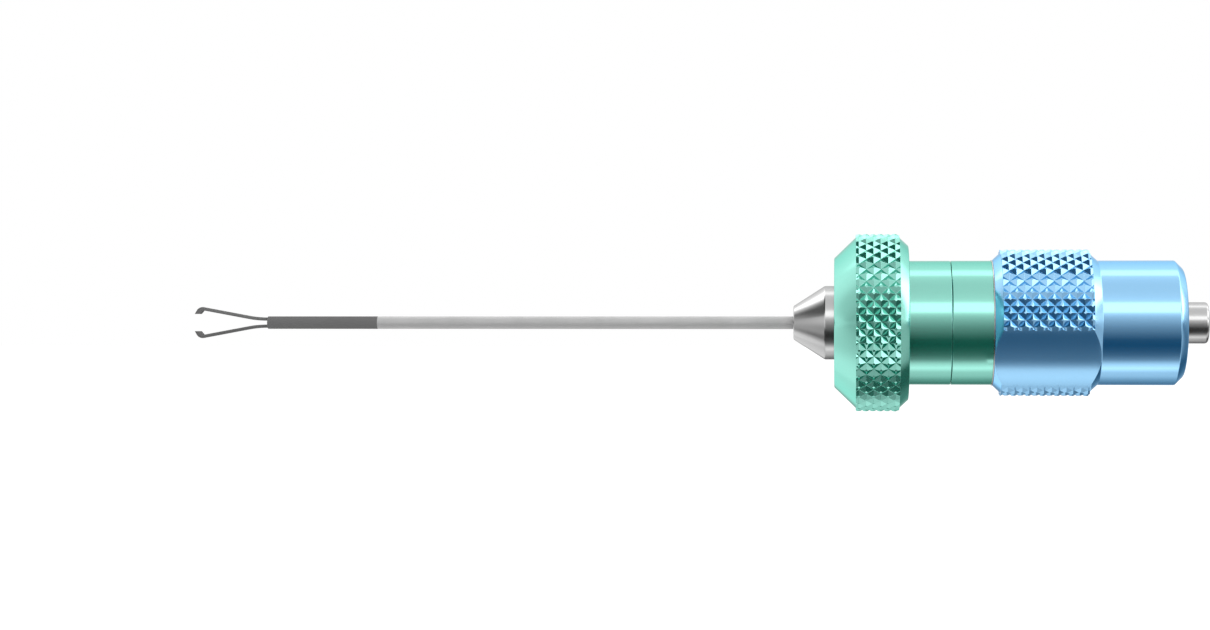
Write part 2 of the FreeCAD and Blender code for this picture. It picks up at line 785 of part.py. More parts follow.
def pin_slot(sketch):
    closed_outline(
        sketch,
        [
            ("pin_place", "-pin_radius - slide_play"),
            ("pin_place + stroke", "-pin_radius - slide_play"),
            ("pin_place + stroke", "pin_radius + slide_play"),
            ("pin_place", "pin_radius + slide_play"),
        ],
        arcs={
            1: ("pin_place + stroke", "0", True),
            3: ("pin_place", "0", True),
        },
    )


cut_through(slider_sleeve, "slider_slot", pin_slot)
pipe(
    "rod_seal",
    "seal_front",
    "seal_rear",
    "rod_radius + rod_play",
    "slider_bore - seat_gap",
)
pipe(
    "spring_collar",
    "spring_rear",
    "spring_rear + spring_collar_length",
    "slider_radius + seat_gap",
    "spring_collar_radius",
)
turned(
    "thrust_plug",
    [
        ("plug_front", "0"),
        ("plug_front", "slider_bore - seat_gap"),
        ("plug_rear", "slider_bore - seat_gap"),
        ("plug_rear", "seat_mouth"),
        ("plug_rear - seat_depth", "0"),
    ],
)

# Return spring between the hub and the collar on the slider
coil(
    "return_spring",
    front=measure("spring_front"),
    length=measure("spring_length"),
    mean_radius=measure("spring_mean_radius"),
    wire_radius=measure("spring_wire_radius"),
    turns=measure("spring_turns"),
)

# Plunger: a headed rod that pushes the slider through a ball, so that the knob can turn freely
plunger_rod = turned(
    "plunger_rod",
    [
        ("head_front + seat_depth", "0"),
        ("head_front", "seat_mouth"),
        ("head_front", "head_radius"),
        ("head_rear", "head_radius"),
        ("head_rear", "plunger_radius"),
        ("plunger_end", "plunger_radius"),
        ("plunger_end", "0"),
    ],
)
bevelled(plunger_rod, "plunger_end_bevel", ("plunger_end", "plunger_radius"), "plunger_bevel")
thrust_ball = part_of("thrust_ball", "Part::Sphere")
thrust_ball.setExpression("Radius", bound("ball_radius"))
thrust_ball.setExpression("Placement.Base.x", bound("ball_place"))
pipe("plunger_bush", "bush_front", "bush_rear", "plunger_radius + slide_play", "bush_radius")
wire_ring(
    "plunger_o_ring",
    "(gland_front + bush_front) / 2",
    "plunger_seal_radius",
    "plunger_seal_wire_radius",
)

# Check every object before anything is written
document.recompute()
for thing in document.Objects:
    if "Invalid" in thing.State or "Error" in thing.State:
        raise RuntimeError(thing.Label + " failed")
for piece in pieces:
    if piece.Shape.isNull() or not piece.Shape.isValid():
        raise RuntimeError(piece.Label + " has no valid shape")

os.makedirs("parts", exist_ok=True)
for piece in pieces:
    piece.Shape.exportStep(f"parts/{piece.Label}.step")
    print(piece.Label, len(piece.Shape.Solids), round(piece.Shape.Volume, 4), piece.Shape.BoundBox)
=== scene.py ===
import json
import math

import bmesh
import bpy
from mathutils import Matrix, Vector


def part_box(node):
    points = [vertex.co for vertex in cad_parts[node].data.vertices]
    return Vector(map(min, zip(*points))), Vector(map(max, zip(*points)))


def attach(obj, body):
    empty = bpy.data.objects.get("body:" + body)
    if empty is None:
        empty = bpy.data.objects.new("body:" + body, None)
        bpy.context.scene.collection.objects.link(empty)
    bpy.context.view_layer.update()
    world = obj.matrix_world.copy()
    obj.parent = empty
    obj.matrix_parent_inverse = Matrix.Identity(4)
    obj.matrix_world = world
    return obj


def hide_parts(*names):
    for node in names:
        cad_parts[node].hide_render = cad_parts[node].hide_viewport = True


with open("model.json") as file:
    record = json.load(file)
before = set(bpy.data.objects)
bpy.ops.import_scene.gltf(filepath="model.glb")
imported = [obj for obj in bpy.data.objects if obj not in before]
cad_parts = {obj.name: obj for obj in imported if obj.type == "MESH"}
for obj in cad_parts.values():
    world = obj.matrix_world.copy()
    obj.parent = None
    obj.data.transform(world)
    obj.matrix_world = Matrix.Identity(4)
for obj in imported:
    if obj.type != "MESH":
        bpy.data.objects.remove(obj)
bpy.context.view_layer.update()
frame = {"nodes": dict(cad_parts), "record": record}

# Every length below is in millimetres until it becomes a vertex, which is in metres.
MM = 0.001


def span(node):
    """Front place, rear place and largest radius of a CAD node, in millimetres."""
    low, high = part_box(node)
    return low[0] / MM, high[0] / MM, high[2] / MM


# Places and radii read from the frame
ring_front, seam_front, ring_radius = span("rotation_knob")
sleeve_front, sleeve_rear, sleeve_radius = span("spacer_sleeve")
shim_front, collar_front, shim_radius = span("shim_washer")
spigot_front, barrel_rear, collar_radius = span("rear_housing")
shaft_mouth, tube_rear, shaft_radius = span("shaft_tube")
cone_front, cone_rear, cone_radius = span("nose_cone")
head_front, plunger_end, head_radius = span("plunger_rod")
jaw_tip, jaw_hinge = span("upper_jaw")[:2]
hub_front = span("rotor_hub")[0]
slider_front = span("slider_sleeve")[0]
slider_radius = span("slider_sleeve")[2]
bush_radius = span("plunger_bush")[2]

# Sizes of the ring and the knob behind it, which the boxes don't give
RING_LENGTH = 3.69
RING_FRONT_RADIUS = 3.24
RING_REAR_RADIUS = 3.86
RING_FRONT_BEVEL = 1.07
RING_REAR_BEVEL = 0.45
KNOB_BORE = 2.53
CONE_HOLE = 1.87

# Sizes of the housing: spigot, collar with two flats, barrel and chamber
SPIGOT_RADIUS = 2.48
COLLAR_END_RADIUS = 3.12
COLLAR_FRONT_BEVEL = 0.38
COLLAR_REAR_BEVEL = 0.42
FLAT_DISTANCE = 3.12
FLAT_TURN = math.radians(33.4)
BARREL_RADIUS = 3.10
BARREL_BEVEL = 0.41
CHAMBER_RADIUS = 1.85
CHAMBER_REAR = -4.9
GLAND_FRONT = 0.90
BUSH_GAP = 0.01
RUNNING_GAP = 0.02

# Diamond knurl: how many diamonds go round, where one lies, and how deep the valleys are
RING_DIAMONDS = 39
RING_KNURL_MIDDLE = -10.73
RING_KNURL_TURN = math.radians(-0.81)
COLLAR_DIAMONDS = 32
COLLAR_KNURL_MIDDLE = -2.69
COLLAR_KNURL_TURN = math.radians(-2.25)
KNURL_DEPTH = 0.15
CREST_CUT = 0.04
ROOT_MARGIN = 0.02
BAR_SPARE = 1.0

# Sizes of the cone, shaft and plunger
CONE_EXPOSED = 0.47
CONE_FRONT_RADIUS = 0.84
CONE_GAP = 0.003
SHAFT_BORE = 0.27
FROST_LENGTH = 5.71
PLUNGER_RADIUS = 1.025
HEAD_REAR = -4.93
SEAT_DEPTH = 0.30
SEAT_MOUTH = 0.52

# Sizes of the jaws, side on; the arms flex outwards on an arc and end in a hook with a flat grip
SLIT_WIDTH = 0.20
ARM_THICKNESS = 0.165
JAW_WIDTH = 0.34
FLEX_START = -42.0
FLEX_RADIUS = 5.30
ARM_SLOPE = math.radians(10.5)
GRIP_HEIGHT = 0.443
GRIP_LENGTH = 0.325
HOOK_RADIUS = 0.36
HOOK_SLOPE = math.radians(60)
HOOK_INNER_SLOPE = math.radians(49)
INNER_CORNER_BEFORE = 0.03
INNER_CORNER_AFTER = 0.02

# The section across an arm, in shares of its half width and its thickness
INNER_FACE_SIDES = (-0.94, -0.5, 0.0, 0.5, 0.94)
SECTION_SHOULDER = 0.22
SECTION_SQUARENESS = 0.8

# How finely the meshes are divided, and the angle from which an edge stays sharp
ROUND_STEPS = 192
SHAFT_STEPS = 64
CORNER_STEPS = 4
CORNER_REACH = 0.45
ARC_STEPS = 12
STRAIGHT_STEPS = 6
GRIP_STEPS = 3
SECTION_STEPS = 16
SHARP_ANGLE = math.radians(24)

ring_rear = ring_front + RING_LENGTH
cone_shoulder = ring_front - CONE_EXPOSED
frost_end = shaft_mouth + FROST_LENGTH
ring_root = ring_radius - KNURL_DEPTH - ROOT_MARGIN
collar_root = collar_radius - KNURL_DEPTH - ROOT_MARGIN

# Noise patterns of the materials as (scale, detail, roughness), scales in waves per metre
TURNING_MARKS = (26000.0, 3.0, 0.7)
SPECKS = (16000.0, 2.0, 0.6)
CLOUDS = (700.0, 4.0, 0.6)
MOTTLE = (4000.0, 4.0, 0.6)

# How far the patterns spread a metal's roughness and tone, and how deep they are
ROUGHNESS_SPREAD = (0.8, 1.25)
TONE_SPREAD = (0.94, 1.05)
MARK_DEPTH = 0.004
GRAIN_DEPTH = 0.006
MOTTLE_DEPTH = 0.004
MOTTLE_STRENGTH = 0.3
MOTTLE_SHADE = 0.85

METALS = {
    "blue_anodised": {
        "colour": (0.28, 0.49, 0.66),
        "roughness": 0.11,
        "turning": 0.12,
        "dye": (0.002, 0.065, 0.17),
        "edge": 0.018,
    },
    "green_anodised": {
        "colour": (0.24, 0.505, 0.44),
        "roughness": 0.11,
        "turning": 0.12,
        "dye": (0.001, 0.09, 0.06),
        "edge": 0.018,
    },
    "polished_steel": {
        "colour": (0.43, 0.43, 0.43),
        "roughness": 0.17,
        "turning": 0.20,
        "dye": (0.025, 0.025, 0.025),
        "edge": 0.01,
    },
    "shaft_steel": {
        "colour": (0.42, 0.42, 0.42),
        "roughness": 0.70,
        "turning": 0.10,
        "dye": (0.15, 0.15, 0.15),
    },
    "frosted_steel": {
        "colour": (0.05, 0.05, 0.05),
        "roughness": 0.80,
        "turning": 0.05,
        "dye": (0.135, 0.135, 0.135),
        "grain": 0.8,
    },
    "jaw_steel": {
        "colour": (0.07, 0.07, 0.07),
        "roughness": 0.50,
        "turning": 0.05,
        "dye": (0.10, 0.10, 0.10),
        "grain": 0.35,
    },
    "plain_steel": {"colour": (0.48, 0.47, 0.46), "roughness": 0.28, "turning": 0.35},
    "bush_bronze": {"colour": (0.62, 0.44, 0.22), "roughness": 0.3, "turning": 0.35},
}
SOFT_MATERIALS = {
    "seal_rubber": {"colour": (0.02, 0.02, 0.02), "roughness": 0.6},
    "bearing_plastic": {"colour": (0.85, 0.85, 0.82), "roughness": 0.4},
}


# Shaders
def node_tree(owner):
    """The emptied node tree of a material or a world."""
    owner.use_nodes = True
    tree = owner.node_tree
    tree.nodes.clear()
    return tree


def add_node(tree, kind, **settings):
    """Add a node, setting its attributes, or its sockets where a name has no attribute."""
    node = tree.nodes.new(kind)
    for name, value in settings.items():
        if hasattr(node, name):
            setattr(node, name, value)
        else:
            node.inputs[name.replace("_", " ")].default_value = value
    return node


def noise(tree, place, pattern):
    """A noise pattern over a place."""
    scale, detail, roughness = pattern
    node = add_node(tree, "ShaderNodeTexNoise", Scale=scale, Detail=detail, Roughness=roughness)
    tree.links.new(place, node.inputs["Vector"])
    return node.outputs["Fac"]


def spread(tree, value, low, high):
    """A value from 0 to 1 spread between two others."""
    node = add_node(tree, "ShaderNodeMapRange", To_Min=low, To_Max=high)
    tree.links.new(value, node.inputs["Value"])
    return node.outputs[0]


def tinted(tree, colour, shade):
    """A colour multiplied by a grey level."""
    node = add_node(tree, "ShaderNodeMix", data_type="RGBA", blend_type="MULTIPLY", Factor=1.0)
    node.inputs[6].default_value = colour + (1,)
    tree.links.new(shade, node.inputs[7])
    return node.outputs[2]


def bumped(tree, height, strength, depth, normal=None):
    """The normal after a bump as deep as that many millimetres, on top of another normal."""
    node = add_node(tree, "ShaderNodeBump", Strength=strength, Distance=depth * MM)
    tree.links.new(height, node.inputs["Height"])
    if normal is not None:
        tree.links.new(normal, node.inputs["Normal"])
    return node.outputs[0]


def added(tree, first, second):
    """Two shaders added up."""
    node = add_node(tree, "ShaderNodeAddShader")
    tree.links.new(first, node.inputs[0])
    tree.links.new(second, node.inputs[1])
    return node.outputs[0]


def put_out(tree, shader, kind="ShaderNodeOutputMaterial"):
    """Give a shader to the output of its material or world."""
    output = add_node(tree, kind)
    tree.links.new(shader, output.inputs["Surface"])


def ramp(tree, value, stops):
    """A colour ramp of grey levels over a value, each stop a (place from 0 to 1, level)."""
    node = add_node(tree, "ShaderNodeValToRGB")
    elements = node.color_ramp.elements
    elements[0].position, elements[1].position = stops[0][0], stops[-1][0]
    elements[0].color = (stops[0][1],) * 3 + (1,)
    elements[1].color = (stops[-1][1],) * 3 + (1,)
    for place, level in stops[1:-1]:
        elements.new(place).color = (level,) * 3 + (1,)
    tree.links.new(value, node.inputs["Fac"])
    return node.outputs["Color"]


def seen_share(tree):
    """1 where a surface is seen, directly, in a reflection or through glass, and 0 elsewhere."""
    path = add_node(tree, "ShaderNodeLightPath")
    seen = path.outputs["Is Camera Ray"]
    for ray in ("Is Glossy Ray", "Is Transmission Ray"):
        either = add_node(tree, "ShaderNodeMath", operation="MAXIMUM")
        tree.links.new(seen, either.inputs[0])
        tree.links.new(path.outputs[ray], either.inputs[1])
        seen = either.outputs[0]
    return seen


def metal(name, colour, roughness, turning, dye=None, grain=0.0, edge=0.0):
    """A metal with turning marks round the axis, cloudy roughness and an optional dyed skin.

    turning is how deep the marks look, dye is the light that the skin scatters, grain adds a
    blasted grain, and edge rounds sharp edges by that many millimetres.
    """
    material = bpy.data.materials.new(name)
    tree = node_tree(material)
    link = tree.links.new
    place = add_node(tree, "ShaderNodeTexCoord").outputs["Object"]
    split = add_node(tree, "ShaderNodeSeparateXYZ")
    link(place, split.inputs[0])
    along = add_node(tree, "ShaderNodeCombineXYZ")
    link(split.outputs["X"], along.inputs["X"])
    marks = noise(tree, along.outputs[0], TURNING_MARKS)
    clouds = noise(tree, place, CLOUDS)
    specks = noise(tree, place, SPECKS)
    shade = spread(tree, specks, *TONE_SPREAD)
    normal = None
    if edge:
        normal = add_node(tree, "ShaderNodeBevel", samples=6, Radius=edge * MM).outputs[0]
    normal = bumped(tree, marks, turning, MARK_DEPTH, normal)
    normal = bumped(tree, specks, grain, GRAIN_DEPTH, normal)

    surface = add_node(tree, "ShaderNodeBsdfPrincipled", Metallic=1.0)
    smoothest, roughest = (roughness * part for part in ROUGHNESS_SPREAD)
    link(tinted(tree, colour, shade), surface.inputs["Base Color"])
    link(spread(tree, clouds, smoothest, roughest), surface.inputs["Roughness"])
    link(normal, surface.inputs["Normal"])
    shader = surface.outputs[0]
    if dye:
        tint = tuple(level ** 0.5 for level in colour) + (1,)
        surface.inputs["Specular Tint"].default_value = tint
        scatter = add_node(tree, "ShaderNodeBsdfDiffuse")
        link(tinted(tree, dye, shade), scatter.inputs["Color"])
        link(normal, scatter.inputs["Normal"])
        shader = added(tree, shader, scatter.outputs[0])
    put_out(tree, shader)
    return material


def soft_material(name, colour, roughness):
    """Rubber or plastic with a faint mottle."""
    material = bpy.data.materials.new(name)
    tree = node_tree(material)
    link = tree.links.new
    place = add_node(tree, "ShaderNodeTexCoord").outputs["Object"]
    mottle = noise(tree, place, MOTTLE)
    tone = add_node(tree, "ShaderNodeMix", data_type="RGBA", blend_type="MIX")
    tone.inputs[6].default_value = tuple(MOTTLE_SHADE * level for level in colour) + (1,)
    tone.inputs[7].default_value = colour + (1,)
    link(mottle, tone.inputs["Factor"])
    surface = add_node(tree, "ShaderNodeBsdfPrincipled", Roughness=roughness)
    link(tone.outputs[2], surface.inputs["Base Color"])
    link(bumped(tree, mottle, MOTTLE_STRENGTH, MOTTLE_DEPTH), surface.inputs["Normal"])
    put_out(tree, surface.outputs[0])
    return material


MATERIALS = {name: metal(name, **look) for name, look in METALS.items()}
MATERIALS.update({name: soft_material(name, **look) for name, look in SOFT_MATERIALS.items()})


# Mesh helpers
def new_piece(name, mesh, *materials):
    """An object of the mesh with those materials, in the scene."""
    piece = bpy.data.objects.new(name, mesh)
    bpy.context.scene.collection.objects.link(piece)
    for material in materials:
        mesh.materials.append(MATERIALS[material])
    return piece


def closed_mesh(work, name, smooth=False):
    """The mesh of a finished closed form, with its normals outwards."""
    for face in work.faces:
        face.smooth = smooth
    bmesh.ops.recalc_face_normals(work, faces=work.faces)
    mesh = bpy.data.meshes.new(name)
    work.to_mesh(mesh)
    work.free()
    return mesh


def vertex_at(work, x, radius, angle):
    """A vertex at a place along the axis, a radius from it and a turn about it."""
    y = radius * MM * math.cos(angle)
    z = radius * MM * math.sin(angle)
    return work.verts.new((x * MM, y, z))


def softened(corners):
    """Round each (x, radius, size) corner of a closed outline; size is how far back it starts."""
    outline = []
    count = len(corners)
    for index, (x, radius, size) in enumerate(corners):
        corner = Vector((x, radius))
        if not size:
            outline.append(corner)
            continue
        before = Vector(corners[index - 1][:2]) - corner
        after = Vector(corners[(index + 1) % count][:2]) - corner
        start = corner + before.normalized() * min(size, before.length * CORNER_REACH)
        end = corner + after.normalized() * min(size, after.length * CORNER_REACH)
        for step in range(CORNER_STEPS + 1):
            part = step / CORNER_STEPS
            outline.append(start.lerp(corner, part).lerp(corner.lerp(end, part), part))
    return outline


def lathe_mesh(name, corners, steps=ROUND_STEPS):
    """Turn a closed half outline of (x, radius, corner size) about the axis into a closed mesh."""
    work = bmesh.new()
    angles = [2 * math.pi * step / steps for step in range(steps)]
    rings = []
    for x, radius in softened(corners):
        if radius == 0:
            rings.append([work.verts.new((x * MM, 0, 0))] * steps)
        else:
            rings.append([vertex_at(work, x, radius, angle) for angle in angles])
    for ring, following in zip(rings, rings[1:] + rings[:1]):
        for step in range(steps):
            beside = (step + 1) % steps
            around = (ring[step], ring[beside], following[beside], following[step])
            unique = list(dict.fromkeys(around))
            if len(unique) > 2:
                work.faces.new(unique)
    return closed_mesh(work, name, smooth=True)


def knurled_mesh(name, radius, diamonds, middle, turn, band, front, rear):
    """A bar crossed by two families of 45 degree grooves, plain ridges beyond the band.

    The crests stand a little proud of the radius, so that the turned outline cuts them flat.
    Its faces stay flat shaded, unlike the turned ones.
    """
    steps = 2 * diamonds
    half_pitch = math.pi * radius / diamonds
    rows = math.ceil(band / (2 * half_pitch)) + 1
    rows += rows % 2
    places = [middle + (along - rows) * half_pitch for along in range(2 * rows + 1)]
    work = bmesh.new()

    def ring_at(x, along):
        ring = []
        for around in range(steps):
            crest = (along + around) % 2 == 0
            height = radius + CREST_CUT if crest else radius - KNURL_DEPTH
            ring.append(vertex_at(work, x, height, turn + math.pi * around / diamonds))
        return ring

    rings = [ring_at(front, 0)] + [ring_at(x, along) for along, x in enumerate(places)]
    rings.append(ring_at(rear, 2 * rows))
    work.faces.new(rings[0])
    work.faces.new(rings[-1])
    for number, (ring, following) in enumerate(zip(rings, rings[1:])):
        for around in range(steps):
            beside = (around + 1) % steps
            if number in (0, len(rings) - 2):
                work.faces.new((ring[around], ring[beside], following[beside], following[around]))
            elif (number - 1 + around) % 2 == 0:
                work.faces.new((ring[around], ring[beside], following[around]))
                work.faces.new((following[beside], following[around], ring[beside]))
            else:
                work.faces.new((ring[beside], following[beside], ring[around]))
                work.faces.new((following[around], ring[around], following[beside]))
    return closed_mesh(work, name)


def slab_between_flats():
    """A slab as thick as the distance across the wrench flats, longer than the housing."""
    work = bmesh.new()
    bmesh.ops.create_cube(work, size=2)
    length = barrel_rear - spigot_front
    for corner in work.verts:
        x = (barrel_rear + spigot_front) / 2 + corner.co.x * length
        out = corner.co.y * FLAT_DISTANCE
        side = corner.co.z * 2 * collar_radius
        y = out * math.cos(FLAT_TURN) - side * math.sin(FLAT_TURN)
        z = out * math.sin(FLAT_TURN) + side * math.cos(FLAT_TURN)
        corner.co = (x * MM, y * MM, z * MM)
    return closed_mesh(work, "slab_between_flats")


def common_part(mesh, other, name):
    """What two meshes have in common, by an exact boolean."""
    piece = bpy.data.objects.new("boolean_base", mesh)
    tool = bpy.data.objects.new("boolean_tool", other)
    for thing in (piece, tool):
        bpy.context.scene.collection.objects.link(thing)
    boolean = piece.modifiers.new("boolean", "BOOLEAN")
    boolean.operation = "INTERSECT"
    boolean.solver = "EXACT"
    boolean.object = tool
    bpy.context.view_layer.update()
    evaluated = piece.evaluated_get(bpy.context.evaluated_depsgraph_get())
    result = bpy.data.meshes.new_from_object(evaluated)
    result.name = name
    for thing in (piece, tool):
        bpy.data.objects.remove(thing)
    return result


def settle(piece, body, slot, *nodes):
    """Part the shading of a finished piece at its edges and hang it on its body for its nodes."""
    piece.data.set_sharp_from_angle(angle=SHARP_ANGLE)
    weights = piece.modifiers.new("face_weights", "WEIGHTED_NORMAL")
    weights.keep_sharp = True
    weights.weight = 100
    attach(piece, body)
    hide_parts(*nodes)


# Green rotation knob
knob_outline = [
    (ring_front, CONE_HOLE, 0.03),
    (ring_front, RING_FRONT_RADIUS, 0.05),
    (ring_front + RING_FRONT_BEVEL, ring_root, 0),
    (ring_front + RING_FRONT_BEVEL, ring_radius, 0),
    (ring_rear - RING_REAR_BEVEL, ring_radius, 0),
    (ring_rear - RING_REAR_BEVEL, ring_root, 0),
    (ring_rear, RING_REAR_RADIUS, 0.05),
    (ring_rear, sleeve_radius, 0.04),
    (seam_front, sleeve_radius, 0.035),
    (seam_front, KNOB_BORE, 0.02),
    (hub_front, KNOB_BORE, 0),
    (hub_front, CONE_HOLE, 0),
]
knob_bar = knurled_mesh(
    "knob_bar",
    ring_radius,
    RING_DIAMONDS,
    RING_KNURL_MIDDLE,
    RING_KNURL_TURN,
    RING_LENGTH - RING_FRONT_BEVEL - RING_REAR_BEVEL,
    ring_front - BAR_SPARE,
    seam_front + BAR_SPARE,
)
knob_mesh = common_part(knob_bar, lathe_mesh("knob_turned", knob_outline), "knob")
knob = new_piece("knurled_rotation_knob", knob_mesh, "green_anodised")
settle(knob, "knob", "green_anodised", "rotation_knob")

# Green sleeve
sleeve_outline = [
    (sleeve_front, SPIGOT_RADIUS, 0),
    (sleeve_front, sleeve_radius, 0.035),
    (sleeve_rear, sleeve_radius, 0.015),
    (sleeve_rear, SPIGOT_RADIUS, 0),
]
sleeve = new_piece("green_sleeve", lathe_mesh("sleeve", sleeve_outline), "green_anodised")
settle(sleeve, "housing", "green_anodised", "spacer_sleeve")

# Thin shim behind the sleeve
shim_outline = [
    (shim_front, SPIGOT_RADIUS, 0),
    (shim_front, shim_radius, 0.012),
    (collar_front, shim_radius, 0.012),
    (collar_front, SPIGOT_RADIUS, 0),
]
shim = new_piece("steel_shim", lathe_mesh("shim", shim_outline), "plain_steel")
settle(shim, "housing", "plain_steel", "shim_washer")

# Blue housing: knurled collar with two flats, and the barrel
housing_outline = [
    (spigot_front, CHAMBER_RADIUS, 0),
    (spigot_front, SPIGOT_RADIUS, 0.1),
    (collar_front, SPIGOT_RADIUS, 0),
    (collar_front, COLLAR_END_RADIUS, 0.02),
    (collar_front + COLLAR_FRONT_BEVEL, collar_root, 0),
    (collar_front + COLLAR_FRONT_BEVEL, collar_radius, 0),
    (-COLLAR_REAR_BEVEL, collar_radius, 0),
    (-COLLAR_REAR_BEVEL, collar_root, 0),
    (0, BARREL_RADIUS, 0.03),
    (barrel_rear - BARREL_BEVEL, BARREL_RADIUS, 0.04),
    (barrel_rear, BARREL_RADIUS - BARREL_BEVEL, 0.10),
    (barrel_rear, bush_radius + BUSH_GAP, 0.04),
    (GLAND_FRONT, bush_radius + BUSH_GAP, 0),
    (GLAND_FRONT, PLUNGER_RADIUS + RUNNING_GAP, 0),
    (CHAMBER_REAR, PLUNGER_RADIUS + RUNNING_GAP, 0),
    (CHAMBER_REAR, CHAMBER_RADIUS, 0),
]
collar_bar = knurled_mesh(
    "collar_bar",
    collar_radius,
    COLLAR_DIAMONDS,
    COLLAR_KNURL_MIDDLE,
    COLLAR_KNURL_TURN,
    -collar_front - COLLAR_FRONT_BEVEL - COLLAR_REAR_BEVEL,
    spigot_front - BAR_SPARE,
    barrel_rear + BAR_SPARE,
)
flatted_bar = common_part(collar_bar, slab_between_flats(), "flatted_bar")
housing_turned = lathe_mesh("housing_turned", housing_outline)
housing_mesh = common_part(flatted_bar, housing_turned, "housing")
housing = new_piece("blue_housing", housing_mesh, "blue_anodised")
settle(housing, "housing", "blue_anodised", "rear_housing")

# Nose cone
cone_outline = [
    (cone_front, shaft_radius + CONE_GAP, 0.02),
    (cone_front, CONE_FRONT_RADIUS, 0.06),
    (cone_shoulder, cone_radius, 0.05),
    (cone_rear, cone_radius, 0.03),
    (cone_rear, slider_radius, 0),
    (slider_front, slider_radius, 0),
    (slider_front, shaft_radius + CONE_GAP, 0),
]
cone = new_piece("steel_nose_cone", lathe_mesh("nose_cone", cone_outline), "polished_steel")
settle(cone, "tube_carriage", "polished_steel", "nose_cone")

# Shaft, frosted over its front
shaft_outline = [
    (shaft_mouth, SHAFT_BORE, 0.01),
    (shaft_mouth, shaft_radius, 0.02),
    (frost_end, shaft_radius, 0),
    (tube_rear, shaft_radius, 0),
    (tube_rear, SHAFT_BORE, 0),
]
shaft_mesh = lathe_mesh("shaft", shaft_outline, SHAFT_STEPS)
shaft = new_piece("steel_shaft", shaft_mesh, "shaft_steel", "frosted_steel")
for polygon in shaft.data.polygons:
    if polygon.center.x < frost_end * MM:
        polygon.material_index = 1
settle(shaft, "tube_carriage", "shaft_steel", "shaft_tube")

# Plunger
plunger_outline = [
    (head_front + SEAT_DEPTH, 0, 0),
    (head_front, SEAT_MOUTH, 0),
    (head_front, head_radius, 0.05),
    (HEAD_REAR, head_radius, 0.05),
    (HEAD_REAR, PLUNGER_RADIUS, 0),
    (plunger_end, PLUNGER_RADIUS, 0.16),
    (plunger_end, 0, 0),
]
plunger = new_piece("steel_plunger", lathe_mesh("plunger", plunger_outline), "polished_steel")
settle(plunger, "plunger", "polished_steel", "plunger_rod")


# Jaws
def arc_points(centre, radius, start, end):
    """Points on an arc of the side outline, from one angle to another."""
    points = []
    for step in range(ARC_STEPS + 1):
        angle = start + (end - start) * step / ARC_STEPS
        points.append(Vector((
            centre[0] + radius * math.cos(angle),
            centre[1] + radius * math.sin(angle),
        )))
    return points


def jaw_stations():
    """Pairs of an inner and an outer point of the upper jaw's side outline, from root to grip."""
    inner_height = SLIT_WIDTH / 2
    outer_height = inner_height + ARM_THICKNESS
    centre = (FLEX_START, inner_height + ARM_THICKNESS / 2 + FLEX_RADIUS)
    down = -math.pi / 2
    inner_arc = arc_points(centre, centre[1] - inner_height, down, down - ARM_SLOPE)
    outer_arc = arc_points(centre, centre[1] - outer_height, down, down - ARM_SLOPE)

    # The hook's outside: an arc from the arm's slope to the straight line that ends at the tip
    outward = Vector((math.sin(ARM_SLOPE), math.cos(ARM_SLOPE)))
    tip = Vector((jaw_tip, GRIP_HEIGHT))
    hook_normal = Vector((-math.sin(HOOK_SLOPE), math.cos(HOOK_SLOPE)))
    reach = tip - hook_normal * HOOK_RADIUS - outer_arc[-1]
    hook_length = -(reach.dot(outward) + HOOK_RADIUS) / math.sin(HOOK_SLOPE + ARM_SLOPE)
    hook_low = tip + Vector((math.cos(HOOK_SLOPE), math.sin(HOOK_SLOPE))) * hook_length
    hook_centre = hook_low - hook_normal * HOOK_RADIUS
    start = math.pi / 2 - ARM_SLOPE
    end = math.pi / 2 + HOOK_SLOPE
    hook_arc = arc_points(hook_centre, HOOK_RADIUS, start, end)

    # Its inside: a small rounded corner between the arm and the grip's heel
    heel = Vector((jaw_tip + GRIP_LENGTH, GRIP_HEIGHT))
    rise = inner_arc[-1].y + (inner_arc[-1].x - heel.x) * math.tan(ARM_SLOPE) - GRIP_HEIGHT
    run = rise / (math.tan(HOOK_INNER_SLOPE) + math.tan(ARM_SLOPE))
    corner = heel + Vector((run, run * math.tan(HOOK_INNER_SLOPE)))
    before = corner + Vector((1, -math.tan(ARM_SLOPE))) * INNER_CORNER_BEFORE
    after = corner - Vector((1, math.tan(HOOK_INNER_SLOPE))) * INNER_CORNER_AFTER

    stations = [(Vector((jaw_hinge, inner_height)), Vector((jaw_hinge, outer_height)))]
    stations += list(zip(inner_arc, outer_arc))
    for step in range(1, STRAIGHT_STEPS + 1):
        part = step / STRAIGHT_STEPS
        inner = inner_arc[-1].lerp(before, part)
        stations.append((inner, outer_arc[-1].lerp(hook_arc[0], part)))
    for step, outer in enumerate(hook_arc[1:], start=1):
        part = step / ARC_STEPS
        inner = before.lerp(corner, part).lerp(corner.lerp(after, part), part)
        stations.append((inner, outer))
    for step in range(1, GRIP_STEPS + 1):
        part = step / GRIP_STEPS
        stations.append((after.lerp(heel, part), hook_low.lerp(tip, part)))
    return stations


def jaw_section():
    """The section across an arm as (side, height) from 0 inside to 1 outside: flat in, round out."""
    points = [(side, 0.0) for side in INNER_FACE_SIDES]
    for step in range(SECTION_STEPS + 1):
        angle = math.pi * step / SECTION_STEPS
        side = math.copysign(abs(math.cos(angle)) ** SECTION_SQUARENESS, math.cos(angle))
        rise = math.sin(angle) ** SECTION_SQUARENESS
        points.append((side, SECTION_SHOULDER + (1 - SECTION_SHOULDER) * rise))
    return points


